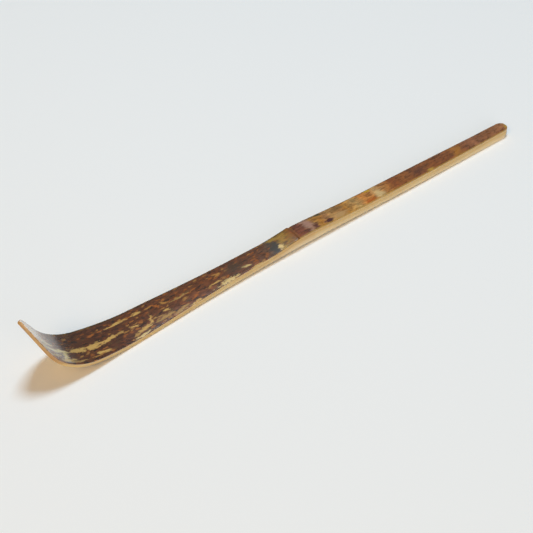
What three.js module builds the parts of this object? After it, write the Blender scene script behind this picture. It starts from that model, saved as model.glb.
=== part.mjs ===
// A bamboo tea scoop: one split of a culm, carved to a slim handle and steam-bent up at the tip.
// Millimetres, +Z up, skin side up. +X runs from the scoop's tip to the handle's butt, and the
// origin is on the table, under the middle of the scoop's footprint.
//
// The strip has two tissues, the glossy skin and the pale flesh under it, and one node, where the
// culm's septum crossed. Each tissue of each stretch is a solid of its own.
//
// A place along the strip is its distance from the sheath scar on the node, measured along the
// underside: negative towards the tip, positive towards the butt.

import * as THREE from "three";

const { clamp, degToRad, lerp, smoothstep } = THREE.MathUtils;

// ---- Driving dimensions ----

const overallLength = 180; // tip to butt, along the table
const handleLength = 89.2; // sheath scar to butt

const bladeLength = 11.2; // straight stretch at the tip
const bladeAngle = degToRad(66.6); // its slope
const bladeTwist = degToRad(5.5); // about its own length, its edge towards +Y to the inner side
const bendRadius = 18.9; // of the underside, below the blade
const easeRadius = 81; // of the underside, where the bend begins
const easeAngle = degToRad(11.4); // turned on that larger radius before the tighter one
const waistRise = 0.83; // height of the arched underside at the node
const waistBlend = 12; // length of that arch's crown, each side of the node
const restLength = 12; // flat on the table under the butt

const bladeWidth = 15.4; // at its widest, before its end is rounded
const heelWidth = 11.25; // where the bend touches the table
const shankWidth = 7.65; // half way from there to the node
const nodeWidth = 6.1;
const handleWidth = 5.45; // half way along the handle
const buttWidth = 4.25;

const tipThickness = 0.85; // all thicknesses are at the strip's edge
const heelThickness = 1.65;
const shankThickness = 2.15;
const nodeThickness = 2.7; // without its swelling
const handleThickness = 2.9;
const buttThickness = 3.3;

const ridgeLength = 10; // over which the node swells, on the scoop's side of the scar
const swelling = 0.82; // how far it swells
const flareLength = 26; // over which the swelling dies away along the handle
const lipLength = 2.4; // the raised lip of the ridge, just before the scar
const lipHeight = 0.28;
const scarLength = 0.9; // the thin ring left by the culm sheath
const scarDepth = 0.12; // below the skin on its handle side
const septumReach = 6; // how far the node's wood runs past the scar
const septumHeight = 1.0; // thickness of the septum's root, on the underside

const skinThickness = 0.4;
const culmRadius = 24; // the round of the culm, kept across the skin
const bladeHollow = 0.3; // depth of the hollow across the blade
const edgeBevel = 0.12; // height taken off along each edge of the skin
const undersideWidth = 0.97; // of the underside, as a share of the width at the skin
const cornerHeight = 0.05; // of the bevel along each underside corner, as a share of the flesh
const flatWidth = 0.75; // of each face between its bevels, as a share of its width

const tipRound = 32; // length of the blade's rounded end
const tipFlat = 0.9; // width at its very end
const tipFullness = 0.77; // 0.5 is the end of an ellipse, and 1 that of a parabola
const buttRound = 2.4;
const buttFlat = 0.7;
const buttFullness = 0.5;
const buttRise = 1.9; // how far the underside is carved up at the very end
const buttRiseLength = 5;

const layerGap = 0.03; // between two tissues
const seamGap = 0.06; // between two stretches

const stepsAcross = 8;
const stepsTip = 18; // along the blade's rounded end
const stepsButt = 5;

// ---- The underside, seen from the side ----
// It lies on the table under the bend and under the butt, and arches between them.

// The point of a circle where the underside slopes up towards the tip by this angle.
function onArc(centre, radius, slope) {
  return new THREE.Vector2(-Math.sin(slope), -Math.cos(slope)).multiplyScalar(radius).add(centre);
}

// The stretch from the heel of the bend to the tip, with the heel at zero for now.
const easeCentre = new THREE.Vector2(0, easeRadius);
const bendStart = onArc(easeCentre, easeRadius, easeAngle);
const bendCentre = bendStart.clone().lerp(easeCentre, bendRadius / easeRadius);
const bladeStart = onArc(bendCentre, bendRadius, bladeAngle);
const tip = new THREE.Vector2(-Math.cos(bladeAngle), Math.sin(bladeAngle))
  .multiplyScalar(bladeLength)
  .add(bladeStart);

// The tip goes half the overall length from the origin, and the rest follows it.
const shift = -overallLength / 2 - tip.x;
for (const point of [easeCentre, bendCentre, bladeStart, tip]) {
  point.x += shift;
}

const butt = new THREE.Vector2(overallLength / 2, 0);
const restStart = new THREE.Vector2(butt.x - restLength, 0);
const waist = new THREE.Vector2(butt.x - handleLength, waistRise);

// The slope of the line from the waist that meets the bend without a corner.
const fromCentre = waist.clone().sub(easeCentre);
const shankSlope = Math.atan2(fromCentre.x, -fromCentre.y) - Math.acos(easeRadius / fromCentre.length());

const waistStart = new THREE.Vector2(-Math.cos(shankSlope), -Math.sin(shankSlope))
  .multiplyScalar(waistBlend)
  .add(waist);
const waistEnd = waist.clone().add(restStart.clone().sub(waist).setLength(waistBlend));

const down = -Math.PI / 2;
const underside = new THREE.Path();
underside.moveTo(tip.x, tip.y);
underside.lineTo(bladeStart.x, bladeStart.y);
underside.absarc(bendCentre.x, bendCentre.y, bendRadius, down - bladeAngle, down - easeAngle);
underside.absarc(easeCentre.x, easeCentre.y, easeRadius, down - easeAngle, down + shankSlope);
underside.lineTo(waistStart.x, waistStart.y);
underside.quadraticCurveTo(waist.x, waist.y, waistEnd.x, waistEnd.y);
underside.lineTo(restStart.x, restStart.y);
underside.lineTo(butt.x, butt.y);

const undersideLength = underside.getLength();
const tipPlace = handleLength - undersideLength;
const bladePlace = tipPlace + bladeLength;
const bendPlace = bladePlace + bendRadius * (bladeAngle - easeAngle);
const heelPlace = bendPlace + easeRadius * easeAngle;
const shankPlace = heelPlace / 2;
const buttPlace = handleLength;

// ---- Width and thickness along the strip ----

// A smooth curve through stops, each a place and the value there.
function smoothThrough(stops) {
  const places = stops.map(([place]) => place);
  const values = stops.map(([, value]) => value);
  const curve = new THREE.CubicInterpolant(places, values, 1);
  return (place) => curve.evaluate(place)[0];
}

const fullWidth = smoothThrough([
  [tipPlace, bladeWidth],
  [bladePlace, bladeWidth],
  [heelPlace, heelWidth],
  [shankPlace, shankWidth],
  [0, nodeWidth],
  [buttPlace / 2, handleWidth],
  [buttPlace, buttWidth],
]);

const stripThickness = smoothThrough([
  [tipPlace, tipThickness],
  [heelPlace, heelThickness],
  [shankPlace, shankThickness],
  [0, nodeThickness],
  [buttPlace / 2, handleThickness],
  [buttPlace, buttThickness],
]);

// The width of a rounded end, this far from it.
function rounded(distance, length, fullness, full, flat) {
  const inward = clamp(1 - distance / length, 0, 1);
  return lerp(flat, full, Math.pow(1 - inward * inward, fullness));
}

function width(place) {
  const full = fullWidth(place);
  const atTip = rounded(place - tipPlace, tipRound, tipFullness, full, tipFlat);
  const atButt = rounded(buttPlace - place, buttRound, buttFullness, full, buttFlat);
  return Math.min(atTip, atButt);
}

function swell(place) {
  const rise = smoothstep(place, -ridgeLength, 0);
  const fall = 1 - smoothstep(place, 0, flareLength);
  return swelling * rise * fall;
}

function thickness(place) {
  return stripThickness(place) + swell(place);
}

// ---- Surfaces between the tissues ----
// Each gives a height above the underside's line, at a place and at an offset across the strip
// that runs from -1 at one edge to 1 at the other.

// How far an offset lies into the bevel beside a face's flat middle, from 0 to 1.
function intoBevel(across) {
  return Math.max(0, (Math.abs(across) - flatWidth) / (1 - flatWidth));
}

// The share of the scoop's hollow that a place has: none at the heel, all of it on the blade.
function hollow(place) {
  return bladeHollow * (1 - smoothstep(place, bladePlace, heelPlace));
}

// The round across the skin. The steam bend flattens it, and it is gone where the hollow is full.
function crown(place) {
  const half = width(place) / 2;
  const natural = culmRadius - Math.sqrt(culmRadius * culmRadius - half * half);
  return natural * smoothstep(place, bladePlace, shankPlace);
}

// How far the underside is carved up from its line, near the butt.
function carvedUp(place) {
  const inward = clamp((place - buttPlace) / buttRiseLength + 1, 0, 1);
  return buttRise * (1 - Math.sqrt(1 - inward * inward));
}

function fleshBottom(place, across) {
  const corner = cornerHeight * (thickness(place) - skinThickness) * intoBevel(across);
  return hollow(place) * across * across + corner + carvedUp(place);
}

function fleshTop(place, across) {
  const curve = crown(place) * (1 - across * across) + hollow(place) * across * across;
  return thickness(place) - skinThickness - layerGap + curve;
}

function septumTop(place, across) {
  return fleshBottom(place, across) + lerp(septumHeight, septumHeight / 2, Math.abs(across));
}

function nodeWoodBottom(place, across) {
  return septumTop(place, across) + layerGap;
}

function skinBottom(place, across) {
  return fleshTop(place, across) + layerGap;
}

function skinTop(place, across) {
  return skinBottom(place, across) + skinThickness - edgeBevel * intoBevel(across);
}

function ridgeTop(place, across) {
  return skinTop(place, across) + lipHeight * smoothstep(place, -lipLength, 0);
}

function scarTop(place, across) {
  return skinTop(place, across) - scarDepth;
}

// ---- Solids ----

// The sides of the strip lean in towards the underside.
function leaned(place, height) {
  return lerp(undersideWidth, 1, clamp(height / thickness(place), 0, 1));
}

function twist(place) {
  return bladeTwist * (1 - smoothstep(place, bladePlace, bendPlace));
}

// The point of the strip at a place, an offset across and a height above the underside's line.
function onStrip(place, across, height) {
  const along = (place - tipPlace) / undersideLength;
  const foot = underside.getPoint(along);
  const forward = underside.getTangent(along);
  const y = (across * width(place) * leaned(place, height)) / 2;
  const out = height + y * Math.tan(twist(place));
  return new THREE.Vector3(foot.x - forward.y * out, y, foot.y + forward.x * out);
}

function evenly(from, to, count) {
  return Array.from({ length: count }, (_, i) => lerp(from, to, i / count));
}

// Closer together towards the very end, where a rounded end turns fastest.
function towardsEnd(count) {
  return evenly(0, Math.PI / 2, count).map((angle) => 1 - Math.cos(angle));
}

const stations = [
  ...towardsEnd(stepsTip).map((step) => tipPlace + tipRound * step),
  ...evenly(tipPlace + tipRound, heelPlace, 7),
  ...evenly(heelPlace, -ridgeLength, 12),
  ...evenly(-ridgeLength, -lipLength, 5),
  ...evenly(-lipLength, 0, 3),
  ...evenly(0, scarLength, 1),
  ...evenly(scarLength, septumReach, 3),
  ...evenly(septumReach, flareLength, 6),
  ...evenly(flareLength, buttPlace - restLength, 6),
  ...evenly(buttPlace - restLength, buttPlace - buttRiseLength, 2),
  ...evenly(buttPlace - buttRiseLength, buttPlace - buttRound, 2),
  buttPlace - buttRound,
  ...towardsEnd(stepsButt).map((step) => buttPlace - buttRound * step).reverse(),
];

// One solid between two surfaces and two places: a box, bent onto the strip. Each of its ends
// stands back from the seam it shares with the next stretch, but not from the strip's own ends.
function stretch(name, from, to, bottom, top, material) {
  const first = from === tipPlace ? from : from + seamGap / 2;
  const last = to === buttPlace ? to : to - seamGap / 2;
  const places = stations
    .filter((place) => place >= from && place <= to)
    .map((place) => clamp(place, first, last));
  const steps = places.length - 1;
  const geometry = new THREE.BoxGeometry(1, 1, 1, steps, stepsAcross, 1);
  const points = geometry.attributes.position;
  for (let i = 0; i < points.count; i++) {
    const place = places[Math.round((points.getX(i) + 0.5) * steps)];
    const across = 2 * points.getY(i);
    const surface = points.getZ(i) > 0 ? top : bottom;
    const point = onStrip(place, across, surface(place, across));
    points.setXYZ(i, point.x, point.y, point.z);
  }
  geometry.deleteAttribute("uv");
  geometry.computeVertexNormals();
  const mesh = new THREE.Mesh(geometry, material);
  mesh.name = name;
  return mesh;
}

// ---- Materials ----

function bamboo(color, roughness) {
  return new THREE.MeshStandardMaterial({ color, roughness, metalness: 0 });
}

const darkSkin = bamboo("#4a2a1a", 0.3);
const oliveSkin = bamboo("#7a5f2c", 0.35);
const scarTissue = bamboo("#3d2a1c", 0.6);
const reddishSkin = bamboo("#7c4a2c", 0.3);
const paleFlesh = bamboo("#dcbc80", 0.6);
const nodeWood = bamboo("#d2ab6c", 0.6);
const septumTissue = bamboo("#c99f62", 0.7);

// ---- The scoop ----

const teaScoop = new THREE.Group();

// The skin, from the tip to the butt.
teaScoop.add(stretch("scoop_skin", tipPlace, -ridgeLength, skinBottom, skinTop, darkSkin));
teaScoop.add(stretch("node_ridge", -ridgeLength, 0, skinBottom, ridgeTop, oliveSkin));
teaScoop.add(stretch("sheath_scar", 0, scarLength, skinBottom, scarTop, scarTissue));
teaScoop.add(stretch("handle_skin", scarLength, buttPlace, skinBottom, skinTop, reddishSkin));

// The flesh under it. At the node the septum's root lies below the node's own wood.
teaScoop.add(stretch("scoop_flesh", tipPlace, -ridgeLength, fleshBottom, fleshTop, paleFlesh));
teaScoop.add(stretch("node_wood", -ridgeLength, septumReach, nodeWoodBottom, fleshTop, nodeWood));
teaScoop.add(stretch("septum_root", -ridgeLength, septumReach, fleshBottom, septumTop, septumTissue));
teaScoop.add(stretch("handle_flesh", septumReach, buttPlace, fleshBottom, fleshTop, paleFlesh));

export default teaScoop;
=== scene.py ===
"""A bamboo tea scoop: one split of mottled culm, carved to a slim handle and steam-bent at the tip.

Metres, +Z up, skin side up. +X runs from the scoop's tip to the handle's butt, along the strip.
Each piece is a block, cut finely and bent onto the strip, and stands for one tissue of one
stretch. A place along the strip is its distance from the sheath scar on the node, measured along
the underside: negative towards the tip, positive towards the butt.
"""

import math

import bmesh
import bpy
from mathutils import Matrix, Vector, noise


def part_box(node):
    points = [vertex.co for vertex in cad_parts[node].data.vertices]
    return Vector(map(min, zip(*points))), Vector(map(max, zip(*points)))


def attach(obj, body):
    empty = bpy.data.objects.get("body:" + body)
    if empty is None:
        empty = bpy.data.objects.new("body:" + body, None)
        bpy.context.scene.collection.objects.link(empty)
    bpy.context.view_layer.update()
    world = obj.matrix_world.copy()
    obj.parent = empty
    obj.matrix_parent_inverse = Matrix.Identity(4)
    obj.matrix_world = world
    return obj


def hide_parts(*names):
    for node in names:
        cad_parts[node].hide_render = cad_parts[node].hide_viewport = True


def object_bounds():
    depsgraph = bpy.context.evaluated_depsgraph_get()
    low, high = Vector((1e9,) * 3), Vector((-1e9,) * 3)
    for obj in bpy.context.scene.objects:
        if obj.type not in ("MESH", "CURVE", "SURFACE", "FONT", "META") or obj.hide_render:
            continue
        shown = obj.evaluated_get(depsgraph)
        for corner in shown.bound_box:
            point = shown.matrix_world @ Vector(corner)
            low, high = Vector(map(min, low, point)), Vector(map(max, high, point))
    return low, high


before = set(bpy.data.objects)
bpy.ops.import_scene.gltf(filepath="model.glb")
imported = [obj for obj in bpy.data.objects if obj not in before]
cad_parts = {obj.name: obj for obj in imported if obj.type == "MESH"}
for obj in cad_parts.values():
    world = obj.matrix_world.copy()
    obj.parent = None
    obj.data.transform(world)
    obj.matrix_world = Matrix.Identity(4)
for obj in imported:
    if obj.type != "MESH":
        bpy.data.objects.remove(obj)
cad_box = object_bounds()

mm = 0.001

# ---- Sizes ----

BLADE_LENGTH = 11.2 * mm  # straight stretch at the tip
BLADE_ANGLE = math.radians(66.6)
BLADE_TWIST = math.radians(5.5)  # about its own length, its edge towards +Y to the inner side
BEND_RADIUS = 18.9 * mm  # of the underside, below the blade
EASE_RADIUS = 81 * mm  # of the underside, where the bend begins
EASE_ANGLE = math.radians(11.4)
WAIST_RISE = 0.83 * mm  # height of the arched underside at the node
WAIST_BLEND = 12 * mm
REST_LENGTH = 12 * mm  # flat under the butt

BLADE_WIDTH = 15.4 * mm
HEEL_WIDTH = 11.25 * mm
SHANK_WIDTH = 7.65 * mm
NODE_WIDTH = 6.1 * mm
HANDLE_WIDTH = 5.45 * mm
BUTT_WIDTH = 4.25 * mm

TIP_THICKNESS = 0.85 * mm
HEEL_THICKNESS = 1.65 * mm
SHANK_THICKNESS = 2.15 * mm
NODE_THICKNESS = 2.7 * mm
HANDLE_THICKNESS = 2.9 * mm
BUTT_THICKNESS = 3.3 * mm

RIDGE_LENGTH = 10 * mm  # over which the node swells
SWELLING = 0.82 * mm
FLARE_LENGTH = 26 * mm  # over which the swelling dies away
LIP_LENGTH = 2.4 * mm
LIP_HEIGHT = 0.28 * mm
SCAR_LENGTH = 0.9 * mm
SCAR_DEPTH = 0.12 * mm
SEPTUM_REACH = 6 * mm
SEPTUM_HEIGHT = 1.0 * mm

SKIN_THICKNESS = 0.4 * mm
CULM_RADIUS = 24 * mm
BLADE_HOLLOW = 0.3 * mm
UNDERSIDE_WIDTH = 0.97  # of the underside, as a share of the width at the skin
CORNER_HEIGHT = 0.05  # of the cut along each underside corner, as a share of the flesh
FLAT_WIDTH = 0.75  # of the underside between its cut corners, as a share of its width

TIP_ROUND = 32 * mm
TIP_FLAT = 0.9 * mm
TIP_FULLNESS = 0.77
BUTT_ROUND = 2.4 * mm
BUTT_FLAT = 0.7 * mm
BUTT_FULLNESS = 0.5
BUTT_RISE = 1.9 * mm  # how far the underside is carved up at the very end
BUTT_RISE_LENGTH = 5 * mm

SKIN_EDGE = 0.16 * mm  # radius rubbed onto the skin's edges
LIP_EDGE = 0.2 * mm
CARVING = 0.05 * mm  # how far the knife strayed from a true line
CARVING_LENGTH = 9 * mm

# ---- Where the frame puts the strip ----

tip_x = cad_box[0].x
butt_x = cad_box[1].x
node_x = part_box("sheath_scar")[0].x
handle_length = butt_x - node_x


def lerp(a, b, share):
    return a + (b - a) * share


def clamp(value, low, high):
    return max(low, min(high, value))


def smoothstep(value, low, high):
    share = clamp((value - low) / (high - low), 0, 1)
    return share * share * (3 - 2 * share)


# ---- The underside, seen from the side ----


def on_arc(centre, radius, slope):
    return Vector((centre.x - radius * math.sin(slope), centre.y - radius * math.cos(slope)))


ease_centre = Vector((0, EASE_RADIUS))
bend_start = on_arc(ease_centre, EASE_RADIUS, EASE_ANGLE)
bend_centre = bend_start.lerp(ease_centre, BEND_RADIUS / EASE_RADIUS)
blade_start = on_arc(bend_centre, BEND_RADIUS, BLADE_ANGLE)
blade_way = Vector((-math.cos(BLADE_ANGLE), math.sin(BLADE_ANGLE)))
shift = Vector((tip_x - (blade_start + blade_way * BLADE_LENGTH).x, 0))
ease_centre += shift
bend_centre += shift
blade_start += shift

waist = Vector((butt_x - handle_length, WAIST_RISE))
rest_start = Vector((butt_x - REST_LENGTH, 0))
from_centre = waist - ease_centre
shank_slope = math.atan2(from_centre.x, -from_centre.y) - math.acos(
    EASE_RADIUS / from_centre.length
)
shank_way = Vector((math.cos(shank_slope), math.sin(shank_slope)))
waist_start = waist - shank_way * WAIST_BLEND
waist_end = waist + (rest_start - waist).normalized() * WAIST_BLEND
shank_start = on_arc(ease_centre, EASE_RADIUS, -shank_slope)

# Each stretch of the underside is its length and a function that gives the point and the slope
# at a share of that length.


def straight(start, end):
    way = end - start
    slope = math.atan2(way.y, way.x)
    return way.length, lambda share: (start.lerp(end, share), slope)


def arched(centre, radius, first, last):
    def at(share):
        slope = lerp(first, last, share)
        return on_arc(centre, radius, slope), -slope

    return radius * (first - last), at


def crowned(start, peak, end):
    def at(share):
        before = start.lerp(peak, share)
        after = peak.lerp(end, share)
        way = after - before
        return before.lerp(after, share), math.atan2(way.y, way.x)

    return (peak - start).length + (end - peak).length, at


underside = [
    straight(blade_start + blade_way * BLADE_LENGTH, blade_start),
    arched(bend_centre, BEND_RADIUS, BLADE_ANGLE, EASE_ANGLE),
    arched(ease_centre, EASE_RADIUS, EASE_ANGLE, -shank_slope),
    straight(shank_start, waist_start),
    crowned(waist_start, waist, waist_end),
    straight(waist_end, rest_start),
    straight(rest_start, Vector((butt_x, 0))),
]
underside_length = sum(length for length, at in underside)

tip_place = handle_length - underside_length
blade_place = tip_place + BLADE_LENGTH
bend_place = blade_place + underside[1][0]
heel_place = bend_place + EASE_RADIUS * EASE_ANGLE
shank_place = heel_place / 2
butt_place = handle_length


def under(place):
    """The underside's point, and its slope towards the butt, at a place."""
    left = clamp(place - tip_place, 0, underside_length)
    for length, at in underside[:-1]:
        if left <= length:
            return at(left / length)
        left -= length
    length, at = underside[-1]
    return at(min(1, left / length))


# ---- Width and thickness along the strip ----


def smooth_through(stops):
    """A smooth curve through stops, each a place and the value there."""
    places = [place for place, value in stops]
    values = [value for place, value in stops]
    spans = range(len(stops) - 1)
    climbs = [(values[i + 1] - values[i]) / (places[i + 1] - places[i]) for i in spans]
    between = [(climbs[i] + climbs[i + 1]) / 2 for i in spans[:-1]]
    slopes = [climbs[0], *between, climbs[-1]]

    def curve(place):
        i = sum(place >= stop for stop in places[1:-1])
        run = places[i + 1] - places[i]
        share = (place - places[i]) / run
        rest = 1 - share
        return (
            values[i] * rest * rest * (1 + 2 * share)
            + values[i + 1] * share * share * (1 + 2 * rest)
            + run * share * rest * (slopes[i] * rest - slopes[i + 1] * share)
        )

    return curve


full_width = smooth_through(
    [
        (tip_place, BLADE_WIDTH),
        (blade_place, BLADE_WIDTH),
        (heel_place, HEEL_WIDTH),
        (shank_place, SHANK_WIDTH),
        (0, NODE_WIDTH),
        (butt_place / 2, HANDLE_WIDTH),
        (butt_place, BUTT_WIDTH),
    ]
)

strip_thickness = smooth_through(
    [
        (tip_place, TIP_THICKNESS),
        (heel_place, HEEL_THICKNESS),
        (shank_place, SHANK_THICKNESS),
        (0, NODE_THICKNESS),
        (butt_place / 2, HANDLE_THICKNESS),
        (butt_place, BUTT_THICKNESS),
    ]
)


def rounded(distance, length, fullness, full, flat):
    """The width of a rounded end, this far from it."""
    inward = clamp(1 - distance / length, 0, 1)
    return lerp(flat, full, (1 - inward * inward) ** fullness)


def width(place):
    full = full_width(place)
    at_tip = rounded(place - tip_place, TIP_ROUND, TIP_FULLNESS, full, TIP_FLAT)
    at_butt = rounded(butt_place - place, BUTT_ROUND, BUTT_FULLNESS, full, BUTT_FLAT)
    return min(at_tip, at_butt)


def thickness(place):
    rise = smoothstep(place, -RIDGE_LENGTH, 0)
    fall = 1 - smoothstep(place, 0, FLARE_LENGTH)
    return strip_thickness(place) + SWELLING * rise * fall


def strayed(place, height, seed):
    """How far the knife strayed from its true line: slow, small and never twice the same."""
    spot = Vector((place / CARVING_LENGTH, height / (2 * mm), seed))
    return CARVING * noise.noise(spot)


# ---- Surfaces between the tissues ----
# Each gives a height above the underside's line, at a place and at an offset across the strip
# that runs from -1 at one edge to 1 at the other.


def into_corner(across):
    return max(0, (abs(across) - FLAT_WIDTH) / (1 - FLAT_WIDTH))


def hollow(place):
    return BLADE_HOLLOW * (1 - smoothstep(place, blade_place, heel_place))


def crown(place):
    half = width(place) / 2
    natural = CULM_RADIUS - math.sqrt(CULM_RADIUS * CULM_RADIUS - half * half)
    return natural * smoothstep(place, blade_place, shank_place)


def rubbed(distance, radius):
    """How far a rubbed edge lies below its face, this far in from the edge."""
    inward = clamp(radius - distance, 0, radius)
    return radius - math.sqrt(radius * radius - inward * inward)


def to_edge(place, across):
    side = (1 - abs(across)) * width(place) / 2
    return min(side, place - tip_place, butt_place - place)


def carved_up(place):
    """How far the underside is carved up from its line, near the butt."""
    inward = clamp((place - butt_place) / BUTT_RISE_LENGTH + 1, 0, 1)
    return BUTT_RISE * (1 - math.sqrt(1 - inward * inward))


def flesh_bottom(place, across):
    corner = CORNER_HEIGHT * (thickness(place) - SKIN_THICKNESS) * into_corner(across) ** 1.5
    end = rubbed(min(place - tip_place, butt_place - place), SKIN_EDGE)
    return hollow(place) * across * across + corner + end + carved_up(place)


def face(place, across):
    """The skin's face, before its edges are rubbed."""
    curve = crown(place) * (1 - across * across) + hollow(place) * across * across
    return thickness(place) + curve


def flesh_top(place, across):
    return face(place, across) - SKIN_THICKNESS


def septum_top(place, across):
    return flesh_bottom(place, across) + lerp(SEPTUM_HEIGHT, SEPTUM_HEIGHT / 2, abs(across))


def skin_top(place, across):
    return face(place, across) - rubbed(to_edge(place, across), SKIN_EDGE)


def ridge_top(place, across):
    lip = LIP_HEIGHT * smoothstep(place, -LIP_LENGTH, 0)
    return skin_top(place, across) + lip - rubbed(-place, LIP_EDGE)


def scar_top(place, across):
    return skin_top(place, across) - SCAR_DEPTH


def on_strip(place, across, height):
    """The point of the strip at a place, an offset across and a height above the underside."""
    foot, slope = under(place)
    lean = lerp(UNDERSIDE_WIDTH, 1, clamp(height / thickness(place), 0, 1))
    side = across * (width(place) / 2 * lean + strayed(place, height, math.copysign(5, across)))
    twist = BLADE_TWIST * (1 - smoothstep(place, blade_place, bend_place))
    out = height + side * math.tan(twist)
    x = foot.x - math.sin(slope) * out
    z = foot.y + math.cos(slope) * out
    return Vector((x, side, z))


# ---- Pieces ----

ACROSS = 30  # cuts across the strip, closer together towards its edges
STEP = 0.4 * mm  # between cuts along it


def grow(name, node, first, last, bottom, top, layers, material):
    """One tissue of one stretch: a block, cut finely and laid onto the strip between two places
    and two surfaces. It stands for a node of the frame."""
    block = bmesh.new()
    bmesh.ops.create_cube(block, size=2)
    along = max(4, round((last - first) / STEP))
    for axis, parts in ((0, along), (1, ACROSS), (2, layers)):
        edges = [
            edge
            for edge in block.edges
            if abs(edge.verts[0].co[axis] - edge.verts[1].co[axis]) > 1
        ]
        bmesh.ops.subdivide_edges(block, edges=edges, cuts=parts - 1, use_grid_fill=True)
    grain = block.loops.layers.uv.new("grain")
    depth = block.verts.layers.float.new("depth")
    across_layer = block.verts.layers.float.new("across")
    spots = {}
    for vertex in block.verts:
        share = (vertex.co.x + 1) / 2
        if first == tip_place:
            share = share**1.3
        if last == butt_place:
            share = 1 - (1 - share) ** 1.5
        place = lerp(first, last, share)
        across = math.sin(vertex.co.y * math.pi / 2)
        height = lerp(bottom(place, across), top(place, across), (vertex.co.z + 1) / 2)
        spots[vertex.index] = (place / mm, across * width(place) / 2 / mm)
        vertex[depth] = (face(place, across) - height) / mm
        vertex[across_layer] = across
        vertex.co = on_strip(place, across, height)
    for polygon in block.faces:
        polygon.smooth = True
        for loop in polygon.loops:
            loop[grain].uv = spots[loop.vert.index]
    mesh = bpy.data.meshes.new(name)
    block.to_mesh(mesh)
    block.free()
    mesh.set_sharp_from_angle(angle=math.radians(40))
    mesh.materials.append(material)
    piece = bpy.data.objects.new(name, mesh)
    bpy.context.scene.collection.objects.link(piece)
    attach(piece, "root")
    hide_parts(node)
    return piece


# ---- Materials ----


def colour(code):
    """A linear colour from an sRGB hex value."""
    parts = [int(code[i : i + 2], 16) / 255 for i in (1, 3, 5)]
    linear = [c / 12.92 if c <= 0.04045 else ((c + 0.055) / 1.055) ** 2.4 for c in parts]
    return (*linear, 1)


def add(tree, kind, inputs=None, **settings):
    """Adds a node with its settings, and links or sets its inputs."""
    node = tree.nodes.new(kind)
    for name, value in settings.items():
        setattr(node, name, value)
    for socket, value in (inputs or {}).items():
        if isinstance(value, bpy.types.NodeSocket):
            tree.links.new(value, node.inputs[socket])
        else:
            node.inputs[socket].default_value = value
    return node


def new_material(name):
    material = bpy.data.materials.new(name)
    material.use_nodes = True
    tree = material.node_tree
    tree.nodes.clear()
    return material, tree


# Colours along the skin, at places in millimetres from the scar, on the scoop's side. Towards the
# tip they pale to pinkish white, a painted sheen that stands for the floor's reflection in the
# glossy blade ...
SCOOP_TONES_AND_TIP_SHEEN = [
    (-103, "#ead0b6"),
    (-96, "#dab594"),
    (-91, "#b98a66"),
    (-87, "#84583c"),
    (-83, "#52301c"),
    (-78, "#4c2a18"),
    (-70, "#4c2b19"),
    (-60, "#54311e"),
    (-50, "#5b3621"),
    (-40, "#623a23"),
    (-30, "#673d24"),
    (-22, "#643c28"),
    (-14, "#62402d"),
    (-10, "#5c4433"),
    (-8.2, "#4b4135"),
    (-6.6, "#55463a"),
    (-6, "#8f7440"),
    (-3, "#8a6c38"),
    (-0.9, "#7c5226"),
    (0, "#74452a"),
]
# ... and on the handle's side.
HANDLE_TONES = [
    (0, "#74452a"),
    (0.8, "#7b4936"),
    (3.8, "#744738"),
    (4.8, "#9d7d6a"),
    (6.5, "#9a7660"),
    (7.8, "#a07848"),
    (10, "#b17d42"),
    (12.5, "#a97c55"),
    (14.5, "#b08858"),
    (18, "#a97b4f"),
    (20, "#b17d42"),
    (24.5, "#bf9c68"),
    (27, "#b97f4c"),
    (30, "#b97e4b"),
    (33, "#c19f70"),
    (35.5, "#b07d4e"),
    (38, "#9a643a"),
    (40, "#7e492a"),
    (44, "#8d5a34"),
    (50, "#774a30"),
    (56, "#83502f"),
    (60, "#7a4b2e"),
    (64, "#7f4e30"),
    (66.5, "#9c6a3b"),
    (69.5, "#7f5034"),
    (74, "#8d6046"),
    (80, "#7f5438"),
    (85, "#966748"),
    (90, "#9a6c4c"),
]

GOLD = "#c9a468"
DULL_GOLD = "#ab8856"
PALE_GOLD = "#d4ba84"
AMBER = "#a0633a"
OCHRE = "#ad7f4c"
MAROON = "#4a2622"
SOOT = "#3f382f"
ROSE = "#a88272"
CREAM = "#cfb384"
INK = "#2b1a10"

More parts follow.
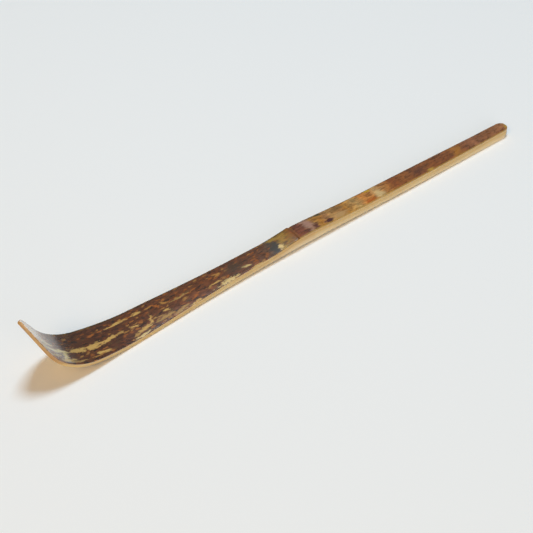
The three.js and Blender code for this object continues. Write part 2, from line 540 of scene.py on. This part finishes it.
# Stains of the skin, one by one: place and offset across in millimetres, length, breadth, tilt in
# degrees, how soft the edge is, and the colour. A positive offset is towards +Y.
STAINS = [
    # the broad streak along the middle of the scoop
    (-76.5, -1.1, 5.5, 1.6, -6, 0.25, GOLD),
    (-71.5, -1.5, 6, 1.7, 3, 0.25, GOLD),
    (-66, -1.2, 8, 1.0, 4, 0.25, GOLD),
    (-62.5, -0.9, 3.5, 0.6, 2, 0.35, DULL_GOLD),
    (-57.5, -1.3, 2.4, 0.9, -15, 0.35, GOLD),
    # its branches in the bend
    (-82.4, -0.9, 4.6, 1.3, -12, 0.4, PALE_GOLD),
    (-82.2, -3.2, 3.6, 2.0, 62, 0.4, PALE_GOLD),
    (-82.6, -5.1, 5.4, 1.1, 8, 0.4, GOLD),
    # on the blade these pale streaks are partly real gold streaks and partly painted sheen,
    # lightened to stand for the floor's reflection
    (-86.4, -1.0, 7, 1.2, -8, 0.5, PALE_GOLD),
    (-87.4, -3.6, 6, 0.8, 14, 0.5, GOLD),
    (-88, 1.4, 6, 1.3, -4, 0.5, CREAM),
    (-92, -1.6, 9, 1.4, 8, 0.6, PALE_GOLD),
    (-92, 2.2, 8, 1.0, 0, 0.6, CREAM),
    (-89, -5.6, 6, 0.8, 20, 0.6, AMBER),
    (-79, -5.6, 5, 0.7, 0, 0.4, DULL_GOLD),
    (-77, -3.9, 1.6, 0.7, 0, 0.5, OCHRE),
    # the thin streak beyond it
    (-69.6, 2.6, 2.4, 0.7, 8, 0.5, AMBER),
    (-67, 2.9, 2, 0.5, 5, 0.5, AMBER),
    (-61.5, 2.75, 8, 0.8, 2, 0.3, GOLD),
    (-59, 3.4, 1.4, 1.0, 30, 0.5, OCHRE),
    (-56.5, 2.9, 2.4, 0.5, 0, 0.5, AMBER),
    (-54.4, 2.75, 2.6, 1.1, 0, 0.35, GOLD),
    (-50.8, 2.4, 3, 0.5, 0, 0.5, OCHRE),
    (-48.6, 1.5, 3.2, 0.6, -50, 0.5, AMBER),
    (-46.2, 1.3, 2.4, 1.0, -25, 0.4, OCHRE),
    (-41, 0.3, 6.8, 0.6, 0, 0.35, DULL_GOLD),
    (-36.8, 0.3, 2, 0.4, 0, 0.5, AMBER),
    # the near streak
    (-70, -4.7, 4.5, 0.9, -8, 0.35, GOLD),
    (-72.5, -5.3, 4, 0.6, 0, 0.4, OCHRE),
    (-58.2, -4.3, 3, 0.8, 10, 0.4, DULL_GOLD),
    (-55.6, -3.5, 4.6, 1.0, 6, 0.4, GOLD),
    (-52.6, -1.9, 3.2, 0.7, 62, 0.4, GOLD),
    (-50.2, -2.4, 3.6, 0.6, -5, 0.45, DULL_GOLD),
    (-48.4, -3.4, 5.4, 1.1, 3, 0.4, DULL_GOLD),
    (-46.6, -1.6, 2.4, 0.8, -10, 0.35, GOLD),
    (-57, -5.2, 6, 0.5, 4, 0.4, PALE_GOLD),
    (-43.5, -4.0, 5, 0.9, 4, 0.5, DULL_GOLD),
    (-40.4, -1.3, 2.2, 0.6, 15, 0.5, OCHRE),
    (-38.5, -4.1, 3.4, 0.6, 4, 0.5, GOLD),
    (-37.4, -2.2, 1.6, 1.1, 0, 0.5, AMBER),
    (-30, -1.7, 3.6, 0.6, -4, 0.4, GOLD),
    (-28.1, 0.8, 1.9, 1.2, 0, 0.45, OCHRE),
    (-26.6, -3.3, 7, 1.5, 4, 0.3, PALE_GOLD),
    (-25.5, -1.5, 1.5, 0.9, 20, 0.5, AMBER),
    (-18.9, -1.8, 2.6, 1.0, -5, 0.4, PALE_GOLD),
    (-16, -3.3, 4, 0.4, 2, 0.5, GOLD),
    # clouds before the node
    (-22, 0, 6, 3.4, 0, 0.8, "#4d3a2b"),
    (-7.7, -1.0, 3.2, 4.2, -35, 0.4, SOOT),
    (-6.2, -1.9, 1.7, 1.4, 40, 0.5, PALE_GOLD),
    (-4.4, -1.5, 1.8, 1.0, 0, 0.6, "#6b5030"),
    (-7, 2.2, 3, 1.4, -10, 0.5, "#96793f"),
    # the handle's clouds
    (5.8, 0.6, 2.4, 3.6, 12, 0.6, ROSE),
    (7.6, -1.6, 2, 2.2, 0, 0.6, "#5c3329"),
    (12.4, -1.8, 3.0, 1.5, 8, 0.35, MAROON),
    (11, 2.3, 4.5, 0.8, 0, 0.5, "#4c4428"),
    (17, -1.6, 5, 2.4, 0, 0.6, "#b99466"),
    (17.5, 1.3, 5, 1.8, -5, 0.7, "#85633a"),
    (29, -2.1, 3, 1.3, 0, 0.6, "#b06638"),
    (30.2, 2.2, 2.4, 0.8, 0, 0.5, "#c29c42"),
    (33.2, -1.2, 3, 3.6, 10, 0.6, CREAM),
    (50, -0.4, 4, 2, 0, 0.8, "#5f3826"),
    (53.8, -2.1, 2.4, 1.3, 0, 0.45, "#b48e4a"),
    (67, -0.4, 5, 1.6, 38, 0.6, "#a6713c"),
    (88.5, -0.9, 1.8, 1.9, -30, 0.5, "#b58f4c"),
]

FIBRE_WIDTH = 0.3  # millimetres, of the coarsest strands that show in the skin
FIBRE_LENGTH = 6
FLECK_WIDTH = 0.55  # of the small flecks that break up each stain
FLECK_LENGTH = 1.3
DRIFT_LENGTH = 3.0  # how far an outline may stray from its true place
DRIFT_WIDTH = 1.3
SPECK_LENGTH = 1.9  # of the cells in which single specks lie
SPECK_WIDTH = 0.85
RAGGEDNESS = 1.9  # of each stain's outline
SOFTNESS = 0.4  # share of the fine mottling that is left on the handle
SPECKS_LEFT = 0.12  # share of the specks that is left there

# Specks of the whole skin: which of the cell's draws decides, the least draw that makes one, its
# colour and its strength.
SPECKS = [
    (0, 0.8, OCHRE, 0.75),
    (1, 0.72, AMBER, 0.7),
    (2, 0.68, INK, 0.8),
]

# Lines along the skin's edges: where across the strip one begins and is full, its colour and its
# strength. The near one is on the handle only.
# The far line is painted shade: it darkens the skin where its edge rolls away from the light.
FAR_SHADE_LINE = (0.84, 0.99, "#4a3a1c", 0.8)
NEAR_LINE = (-0.78, -0.98, "#b4914f", 0.7)


def skin_paint(tree):
    """The skin's colour and its fine relief, from the grain map and the depth below its face. The
    colour holds a painted sheen towards the blade's tip and a line of painted shade along the far
    edge.
    """
    grain = add(tree, "ShaderNodeUVMap", uv_map="grain").outputs["UV"]
    # Mottling was drawn out along the culm as it grew, and no outline of it is straight.
    drift = add(
        tree,
        "ShaderNodeTexNoise",
        {
            "Vector": add(
                tree, "ShaderNodeMapping", {"Vector": grain, "Scale": (1 / 3.2, 1 / 1.3, 1)}
            ).outputs[0],
            "Scale": 1,
            "Detail": 3,
            "Roughness": 0.6,
        },
        noise_dimensions="2D",
    )
    centred = add(
        tree,
        "ShaderNodeVectorMath",
        {0: drift.outputs["Color"], 1: (0.5, 0.5, 0.5)},
        operation="SUBTRACT",
    )
    drawn_out = add(
        tree,
        "ShaderNodeVectorMath",
        {0: centred.outputs[0], 1: (DRIFT_LENGTH, DRIFT_WIDTH, 0)},
        operation="MULTIPLY",
    )
    drifted = add(
        tree, "ShaderNodeVectorMath", {0: grain, 1: drawn_out.outputs[0]}, operation="ADD"
    ).outputs[0]
    strands = add(
        tree,
        "ShaderNodeTexNoise",
        {
            "Vector": add(
                tree,
                "ShaderNodeMapping",
                {"Vector": grain, "Scale": (1 / FIBRE_LENGTH, 1 / FIBRE_WIDTH, 1)},
            ).outputs[0],
            "Scale": 1,
            "Detail": 4,
            "Roughness": 0.65,
        },
        noise_dimensions="2D",
    ).outputs["Fac"]
    flecks = add(
        tree,
        "ShaderNodeTexNoise",
        {
            "Vector": add(
                tree,
                "ShaderNodeMapping",
                {"Vector": grain, "Scale": (1 / FLECK_LENGTH, 1 / FLECK_WIDTH, 1)},
            ).outputs[0],
            "Scale": 1,
            "Detail": 3,
            "Roughness": 0.6,
        },
        noise_dimensions="2D",
    )
    both = add(
        tree, "ShaderNodeMath", {0: strands, 1: flecks.outputs["Fac"]}, operation="ADD"
    ).outputs[0]
    centred_both = add(tree, "ShaderNodeMath", {0: both, 1: 1.0}, operation="SUBTRACT").outputs[0]
    # Mottling is crisp on the scoop's side of the node and soft on the handle's.
    crisp = add(
        tree,
        "ShaderNodeMapRange",
        {
            "Value": add(tree, "ShaderNodeSeparateXYZ", {0: grain}).outputs[0],
            "From Min": 2,
            "From Max": -12,
            "To Min": SOFTNESS,
            "To Max": 1,
        },
        interpolation_type="SMOOTHSTEP",
    ).outputs[0]
    ragged = add(
        tree, "ShaderNodeMath", {0: centred_both, 1: crisp}, operation="MULTIPLY"
    ).outputs[0]

    place = add(tree, "ShaderNodeSeparateXYZ", {0: drifted}).outputs[0]
    tones = []
    for stops in (SCOOP_TONES_AND_TIP_SHEEN, HANDLE_TONES):
        first, last = stops[0][0], stops[-1][0]
        share = add(
            tree, "ShaderNodeMapRange", {"Value": place, "From Min": first, "From Max": last}
        ).outputs[0]
        ramp = add(tree, "ShaderNodeValToRGB", {0: share})
        elements = ramp.color_ramp.elements
        while len(elements) < len(stops):
            elements.new(0.5)
        for element, (stop, code) in zip(elements, stops):
            element.position = (stop - first) / (last - first)
            element.color = colour(code)
        tones.append(ramp.outputs[0])
    beyond = add(tree, "ShaderNodeSeparateXYZ", {0: grain}).outputs[0]
    side = add(tree, "ShaderNodeMath", {0: beyond, 1: 0.0}, operation="GREATER_THAN").outputs[0]
    paint = add(
        tree, "ShaderNodeMix", {0: side, 6: tones[0], 7: tones[1]}, data_type="RGBA"
    ).outputs[2]

    # Clouds a few millimetres long, darker and redder by turns.
    clouds = add(
        tree,
        "ShaderNodeTexNoise",
        {
            "Vector": add(
                tree, "ShaderNodeMapping", {"Vector": drifted, "Scale": (1 / 2.6, 1 / 1.1, 1)}
            ).outputs[0],
            "Scale": 1,
            "Detail": 5,
            "Roughness": 0.62,
        },
        noise_dimensions="2D",
    ).outputs["Fac"]
    darker = add(
        tree,
        "ShaderNodeMapRange",
        {"Value": clouds, "From Min": 0.3, "From Max": 0.7, "To Min": 0.5, "To Max": 1.5},
    ).outputs[0]
    paint = add(
        tree, "ShaderNodeVectorMath", {0: paint, "Scale": darker}, operation="SCALE"
    ).outputs[0]
    red = add(
        tree,
        "ShaderNodeTexNoise",
        {
            "Vector": add(
                tree,
                "ShaderNodeMapping",
                {"Vector": drifted, "Location": (37, 11, 0), "Scale": (1 / 1.7, 1 / 0.7, 1)},
            ).outputs[0],
            "Scale": 1,
            "Detail": 4,
            "Roughness": 0.6,
        },
        noise_dimensions="2D",
    ).outputs["Fac"]
    redder = add(
        tree,
        "ShaderNodeMapRange",
        {"Value": red, "From Min": 0.53, "From Max": 0.68, "To Min": 0, "To Max": 0.5},
        interpolation_type="SMOOTHSTEP",
    ).outputs[0]
    paint = add(
        tree, "ShaderNodeMix", {0: redder, 6: paint, 7: colour("#8a4f2a")}, data_type="RGBA"
    ).outputs[2]

    # Specks of amber and ochre, and others nearly black, scattered over the skin. Few are left
    # on the handle.
    speck_scale = (1 / SPECK_LENGTH, 1 / SPECK_WIDTH, 1)
    scattered = add(
        tree,
        "ShaderNodeTexVoronoi",
        {
            "Vector": add(
                tree, "ShaderNodeMapping", {"Vector": drifted, "Scale": speck_scale}
            ).outputs[0],
            "Scale": 1,
        },
        voronoi_dimensions="2D",
        feature="F1",
    )
    chance = add(tree, "ShaderNodeSeparateXYZ", {0: scattered.outputs["Color"]}).outputs
    spread = add(
        tree,
        "ShaderNodeMath",
        {0: ragged, 1: 0.8, 2: scattered.outputs["Distance"]},
        operation="MULTIPLY_ADD",
    ).outputs[0]
    shape = add(
        tree,
        "ShaderNodeMapRange",
        {"Value": spread, "From Min": 0.45, "From Max": 0.2},
        interpolation_type="SMOOTHSTEP",
    ).outputs[0]
    fading = add(
        tree,
        "ShaderNodeMapRange",
        {"Value": crisp, "From Min": SOFTNESS, "From Max": 1, "To Min": SPECKS_LEFT},
    ).outputs[0]
    for draw, least, code, strength in SPECKS:
        drawn = add(
            tree, "ShaderNodeMath", {0: chance[draw], 1: least}, operation="GREATER_THAN"
        ).outputs[0]
        share = add(tree, "ShaderNodeMath", {0: drawn, 1: shape}, operation="MULTIPLY").outputs[0]
        share = add(
            tree, "ShaderNodeMath", {0: share, 1: strength}, operation="MULTIPLY"
        ).outputs[0]
        share = add(tree, "ShaderNodeMath", {0: share, 1: fading}, operation="MULTIPLY").outputs[0]
        paint = add(
            tree, "ShaderNodeMix", {0: share, 6: paint, 7: colour(code)}, data_type="RGBA"
        ).outputs[2]

    for spot, offset, length, breadth, tilt, soft, code in STAINS:
        inside = add(
            tree,
            "ShaderNodeMapping",
            {
                "Vector": drifted,
                "Location": (spot, offset, 0),
                "Rotation": (0, 0, math.radians(tilt)),
                "Scale": (length / 2, breadth / 2, 1),
            },
            vector_type="TEXTURE",
        )
        away = add(tree, "ShaderNodeVectorMath", {0: inside.outputs[0]}, operation="LENGTH")
        edge = add(
            tree,
            "ShaderNodeMath",
            {0: ragged, 1: RAGGEDNESS, 2: away.outputs["Value"]},
            operation="MULTIPLY_ADD",
        )
        share = add(
            tree,
            "ShaderNodeMapRange",
            {"Value": edge.outputs[0], "From Min": 1 + soft, "From Max": 1 - soft},
            interpolation_type="SMOOTHSTEP",
        )
        paint = add(
            tree,
            "ShaderNodeMix",
            {0: share.outputs[0], 6: paint, 7: colour(code)},
            data_type="RGBA",
        ).outputs[2]

    # Strands a little lighter and darker than their neighbours.
    strand_tone = add(
        tree,
        "ShaderNodeMapRange",
        {"Value": strands, "From Min": 0.3, "From Max": 0.7, "To Min": 0.88, "To Max": 1.12},
    ).outputs[0]
    paint = add(
        tree, "ShaderNodeVectorMath", {0: paint, "Scale": strand_tone}, operation="SCALE"
    ).outputs[0]
    # A dark olive line of painted shade runs along the far edge, where the skin rolls away from the
    # light. On the handle a golden one runs along the near edge, and the very end is rubbed to the
    # same gold.
    across = add(tree, "ShaderNodeAttribute", attribute_name="across").outputs["Fac"]
    for first, last, code, strength in (FAR_SHADE_LINE, NEAR_LINE):
        line = add(
            tree,
            "ShaderNodeMapRange",
            {"Value": across, "From Min": first, "From Max": last, "To Max": strength},
            interpolation_type="SMOOTHSTEP",
        ).outputs[0]
        if last < 0:
            line = add(tree, "ShaderNodeMath", {0: line, 1: side}, operation="MULTIPLY").outputs[0]
            worn_end = add(
                tree,
                "ShaderNodeMapRange",
                {"Value": beyond, "From Min": 88.0, "From Max": 89.1, "To Max": 0.6},
                interpolation_type="SMOOTHSTEP",
            ).outputs[0]
            line = add(
                tree, "ShaderNodeMath", {0: line, 1: worn_end}, operation="MAXIMUM"
            ).outputs[0]
        paint = add(
            tree, "ShaderNodeMix", {0: line, 6: paint, 7: colour(code)}, data_type="RGBA"
        ).outputs[2]
    paint = add(
        tree, "ShaderNodeHueSaturation", {"Color": paint, "Saturation": 1.1, "Value": 1.0}
    ).outputs[0]
    return grain, strands, clouds, paint


def flesh_paint(tree, pale, tan):
    """The flesh's colour and relief: strands that run along the strip and end in dots."""
    grain = add(tree, "ShaderNodeUVMap", uv_map="grain").outputs["UV"]
    depth = add(tree, "ShaderNodeAttribute", attribute_name="depth").outputs["Fac"]
    flat = add(tree, "ShaderNodeSeparateXYZ", {0: grain})
    solid = add(
        tree, "ShaderNodeCombineXYZ", {0: flat.outputs[0], 1: flat.outputs[1], 2: depth}
    ).outputs[0]
    strands = add(
        tree,
        "ShaderNodeTexNoise",
        {
            "Vector": add(
                tree, "ShaderNodeMapping", {"Vector": solid, "Scale": (1 / 14, 1 / 0.32, 1 / 0.32)}
            ).outputs[0],
            "Scale": 1,
            "Detail": 4,
            "Roughness": 0.6,
        },
    ).outputs["Fac"]
    bundles = add(
        tree,
        "ShaderNodeTexVoronoi",
        {
            "Vector": add(
                tree, "ShaderNodeMapping", {"Vector": solid, "Scale": (1 / 60, 1 / 0.7, 1 / 0.55)}
            ).outputs[0],
            "Scale": 1,
        },
        feature="F1",
    ).outputs["Distance"]
    bundle = add(
        tree,
        "ShaderNodeMapRange",
        {"Value": bundles, "From Min": 0.28, "From Max": 0.12},
        interpolation_type="SMOOTHSTEP",
    ).outputs[0]
    blush = add(
        tree,
        "ShaderNodeTexNoise",
        {
            "Vector": add(
                tree, "ShaderNodeMapping", {"Vector": solid, "Scale": (1 / 9, 1 / 2.5, 1 / 2)}
            ).outputs[0],
            "Scale": 1,
            "Detail": 3,
        },
    ).outputs["Fac"]
    blushed = add(
        tree, "ShaderNodeMath", {0: blush, 1: 0.6}, operation="MULTIPLY"
    ).outputs[0]
    blend = add(
        tree,
        "ShaderNodeMath",
        {0: strands, 1: 0.9, 2: blushed},
        operation="MULTIPLY_ADD",
    ).outputs[0]
    share = add(
        tree, "ShaderNodeMapRange", {"Value": blend, "From Min": 0.5, "From Max": 1.0}
    ).outputs[0]
    paint = add(
        tree, "ShaderNodeMix", {0: share, 6: colour(pale), 7: colour(tan)}, data_type="RGBA"
    ).outputs[2]
    # Paler towards the underside: partly the culm's paler inner flesh, partly painted bounce light
    # from the floor on the lower flank.
    paler_inside_and_painted_bounce = add(
        tree,
        "ShaderNodeMapRange",
        {"Value": depth, "From Min": 1.1, "From Max": 3.4, "To Max": 0.85},
    ).outputs[0]
    paint = add(
        tree, "ShaderNodeMix", {0: paler_inside_and_painted_bounce, 6: paint, 7: colour("#f2e2bd")}, data_type="RGBA"
    ).outputs[2]
    # The blade's rim was toasted when it was bent over heat.
    toasted = add(
        tree,
        "ShaderNodeMapRange",
        {"Value": flat.outputs[0], "From Min": -82, "From Max": -90, "To Max": 1.1},
        interpolation_type="SMOOTHSTEP",
    ).outputs[0]
    toasted = add(tree, "ShaderNodeMath", {0: toasted, 1: blush}, operation="MULTIPLY").outputs[0]
    paint = add(
        tree, "ShaderNodeMix", {0: toasted, 6: paint, 7: colour("#a5703c")}, data_type="RGBA"
    ).outputs[2]
    marked = add(tree, "ShaderNodeMath", {0: bundle, 1: 0.35}, operation="MULTIPLY").outputs[0]
    paint = add(
        tree, "ShaderNodeMix", {0: marked, 6: paint, 7: colour("#a97a45")}, data_type="RGBA"
    ).outputs[2]
    return grain, depth, strands, paint


def bamboo_skin(name, roughness, gloss):
    """Natural bamboo skin, rubbed with use: glossy over brown, red and gold mottling, with fine
    strands along the strip. Where the knife cut through it, its section is golden."""
    material, tree = new_material(name)
    _, strands, clouds, paint = skin_paint(tree)
    _, depth, _, cut = flesh_paint(tree, "#d9b87c", "#c39a58")
    exposed = add(
        tree,
        "ShaderNodeMapRange",
        {"Value": depth, "From Min": 0.1, "From Max": 0.2},
        interpolation_type="SMOOTHSTEP",
    ).outputs[0]
    cut = add(
        tree,
        "ShaderNodeMix",
        {
            0: add(
                tree, "ShaderNodeMapRange", {"Value": depth, "From Min": 0.2, "From Max": 0.4}
            ).outputs[0],
            6: colour("#b98c3e"),
            7: cut,
        },
        data_type="RGBA",
    ).outputs[2]
    paint = add(tree, "ShaderNodeMix", {0: exposed, 6: paint, 7: cut}, data_type="RGBA").outputs[2]
    polish = add(
        tree,
        "ShaderNodeMapRange",
        {
            "Value": clouds,
            "From Min": 0.3,
            "From Max": 0.7,
            "To Min": roughness - 0.06,
            "To Max": roughness + 0.06,
        },
    ).outputs[0]
    relief = add(
        tree,
        "ShaderNodeBump",
        {"Height": strands, "Strength": 0.25, "Distance": 0.02 * mm},
    ).outputs[0]
    surface = add(
        tree,
        "ShaderNodeBsdfPrincipled",
        {
            "Base Color": paint,
            "Roughness": polish,
            "Normal": relief,
            "IOR": 1.5,
            "Coat Weight": gloss,
            "Coat Roughness": 0.2,
            "Coat IOR": 1.7,
        },
    ).outputs[0]
    add(tree, "ShaderNodeOutputMaterial", {"Surface": surface})
    return material


def bamboo_flesh(name, pale, tan, roughness, relief_depth):
    """Bamboo flesh as the knife left it: pale straw, with strands along the strip and the brown
    dots and lines of its vessels."""
    material, tree = new_material(name)
    _, _, strands, paint = flesh_paint(tree, pale, tan)
    relief = add(
        tree,
        "ShaderNodeBump",
        {"Height": strands, "Strength": 0.5, "Distance": relief_depth},
    ).outputs[0]
    surface = add(
        tree,
        "ShaderNodeBsdfPrincipled",
        {"Base Color": paint, "Roughness": roughness, "Normal": relief, "IOR": 1.5},
    ).outputs[0]
    add(tree, "ShaderNodeOutputMaterial", {"Surface": surface})
    return material


skin = bamboo_skin("polished mottled bamboo skin", 0.3, 1.0)
# Handling dulled the raised node: it gives the eye a soft sheen and no sparkle.
node_skin = bamboo_skin("dulled bamboo skin of the node", 0.5, 0.25)
scar_skin = bamboo_skin("dull scar of the culm sheath", 0.65, 0.1)
flesh = bamboo_flesh("carved bamboo flesh", "#dcbf82", "#caa260", 0.55, 0.04 * mm)
node_flesh = bamboo_flesh("dense bamboo flesh of the node", "#dcba7e", "#c59a58", 0.55, 0.04 * mm)
septum = bamboo_flesh("shaved bamboo septum", "#cfa870", "#ad814a", 0.75, 0.08 * mm)

grow(
    "mottled_scoop_skin", "scoop_skin",
    tip_place, -RIDGE_LENGTH, flesh_top, skin_top, 3, skin,
)
grow(
    "olive_node_ridge", "node_ridge",
    -RIDGE_LENGTH, 0, flesh_top, ridge_top, 3, node_skin,
)
grow(
    "dark_sheath_scar", "sheath_scar",
    0, SCAR_LENGTH, flesh_top, scar_top, 3, scar_skin,
)
grow(
    "reddish_handle_skin", "handle_skin",
    SCAR_LENGTH, butt_place, flesh_top, skin_top, 3, skin,
)
grow(
    "pale_scoop_flesh", "scoop_flesh",
    tip_place, -RIDGE_LENGTH, flesh_bottom, flesh_top, 6, flesh,
)
grow(
    "dense_node_wood", "node_wood",
    -RIDGE_LENGTH, SEPTUM_REACH, septum_top, flesh_top, 6, node_flesh,
)
grow(
    "shaved_septum_root", "septum_root",
    -RIDGE_LENGTH, SEPTUM_REACH, flesh_bottom, septum_top, 4, septum,
)
grow(
    "pale_handle_flesh", "handle_flesh",
    SEPTUM_REACH, butt_place, flesh_bottom, flesh_top, 6, flesh,
)

# ---- Floor, light and camera ----

paper, tree = new_material("matt white card")
surface = add(
    tree, "ShaderNodeBsdfPrincipled", {"Base Color": colour("#f0f0f0"), "Roughness": 0.9}
).outputs[0]
add(tree, "ShaderNodeOutputMaterial", {"Surface": surface})
bpy.ops.mesh.primitive_plane_add(size=6, location=(0, 0, 0))
floor = bpy.context.active_object
floor.name = "floor"
floor.data.materials.append(paper)

world = bpy.data.worlds.new("studio")
bpy.context.scene.world = world
world.use_nodes = True
world.node_tree.nodes["Background"].inputs["Color"].default_value = (1, 1, 1, 1)
world.node_tree.nodes["Background"].inputs["Strength"].default_value = 0.16


def lamp(name, way, distance, size, power, tint):
    """A square lamp, this far off in this direction, that faces the scoop."""
    data = bpy.data.lights.new(name, "AREA")
    data.shape = "SQUARE"
    data.size = size
    data.energy = power
    data.color = tint
    light = bpy.data.objects.new(name, data)
    bpy.context.scene.collection.objects.link(light)
    way = Vector(way).normalized()
    light.location = way * distance
    light.rotation_euler = way.to_track_quat("Z", "Y").to_euler()
    return light


lamp("key", (0.075, 0.085, 1), 1, 0.24, 5.4, (0.76, 1, 1.2))
lamp("warm side light", (-0.64, -0.3, 0.7), 2, 0.9, 16.5, (1, 0.63, 0.24))
lamp("front light", (-0.3, -0.9, 0.31), 2, 1.3, 10.6, (1, 1, 1))

CAMERA_TURN = math.radians(37.96)  # from looking along +Y, towards +X
CAMERA_FALL = math.radians(43)  # looking down
CAMERA_DISTANCE = 381.3 * mm
AIM = Vector((-11.59 * mm, -2.87 * mm, 0))
LENS = 87.8
SENSOR = 36

right = Vector((math.cos(CAMERA_TURN), -math.sin(CAMERA_TURN), 0))
away = Vector((math.sin(CAMERA_TURN), math.cos(CAMERA_TURN), 0))
ahead = away * math.cos(CAMERA_FALL) - Vector((0, 0, math.sin(CAMERA_FALL)))
above = right.cross(ahead)
camera_data = bpy.data.cameras.new("camera")
camera_data.lens = LENS
camera_data.sensor_width = SENSOR
camera_data.clip_start = 0.01
camera_data.clip_end = 50
camera = bpy.data.objects.new("camera", camera_data)
bpy.context.scene.collection.objects.link(camera)
spot = AIM - ahead * CAMERA_DISTANCE
camera.matrix_world = Matrix(
    (
        (right.x, above.x, -ahead.x, spot.x),
        (right.y, above.y, -ahead.y, spot.y),
        (right.z, above.z, -ahead.z, spot.z),
        (0, 0, 0, 1),
    )
)
bpy.context.scene.camera = camera
bpy.context.scene.view_settings.view_transform = "Standard"
